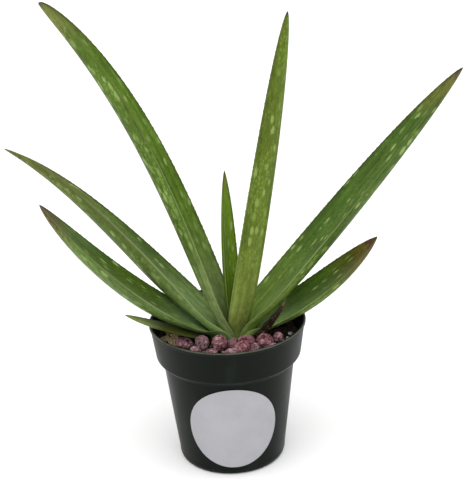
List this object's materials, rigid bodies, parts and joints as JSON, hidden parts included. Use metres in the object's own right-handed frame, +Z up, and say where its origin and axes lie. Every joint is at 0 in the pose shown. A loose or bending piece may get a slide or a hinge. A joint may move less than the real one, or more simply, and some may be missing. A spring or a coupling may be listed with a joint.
{
  "type": "potted aloe plant",
  "caption": "Small aloe with upright and arching spotted leaves, planted in a round tapered nursery pot topped with rough pebbles.",
  "frame": {"origin": "centre of the pot's flat base, on the surface that the pot stands on", "axes": "+Z up along the pot's axis; +X to the right and -Y towards the viewer when the blank label is seen from the front"},
  "size_m": [0.3022, 0.1434, 0.3079],
  "materials": {
    "pot_plastic": "satin",
    "label_paper": "satin",
    "potting_mix": "matt",
    "stem_skin": "matt",
    "leaf_skin": "waxy satin",
    "young_leaf_skin": "waxy satin",
    "dried_leaf_skin": "matt",
    "pebble_stone": "matt",
    "perlite_grain": "matt",
    "bark_chip": "matt"
  },
  "bodies": {
    "root": {"bark_chip_1": "bark_chip", "bark_chip_2": "bark_chip", "bark_chip_3": "bark_chip", "blank_label": "label_paper", "leaf_centre_young": "young_leaf_skin", "leaf_dried_right": "dried_leaf_skin", "leaf_low_left": "leaf_skin", "leaf_low_right": "leaf_skin", "leaf_middle_left": "leaf_skin", "leaf_small_left": "leaf_skin", "leaf_tall_centre": "young_leaf_skin", "leaf_tall_left": "leaf_skin", "leaf_tall_right": "leaf_skin", "pebble_01": "pebble_stone", "pebble_02": "pebble_stone", "pebble_03": "pebble_stone", "pebble_04": "pebble_stone", "pebble_05": "pebble_stone", "pebble_06": "pebble_stone", "pebble_07": "pebble_stone", "pebble_08": "pebble_stone", "pebble_09": "pebble_stone", "pebble_10": "pebble_stone", "pebble_11": "pebble_stone", "pebble_12": "pebble_stone", "pebble_13": "pebble_stone", "pebble_14": "pebble_stone", "pebble_15": "pebble_stone", "pebble_16": "pebble_stone", "pebble_17": "pebble_stone", "pebble_18": "pebble_stone", "pebble_19": "pebble_stone", "pebble_20": "pebble_stone", "pebble_21": "pebble_stone", "pebble_22": "pebble_stone", "pebble_23": "pebble_stone", "pebble_24": "pebble_stone", "pebble_25": "pebble_stone", "perlite_1": "perlite_grain", "perlite_2": "perlite_grain", "perlite_3": "perlite_grain", "pot": "pot_plastic", "potting_mix": "potting_mix", "stem_base": "stem_skin"}
  },
  "joints": []
}
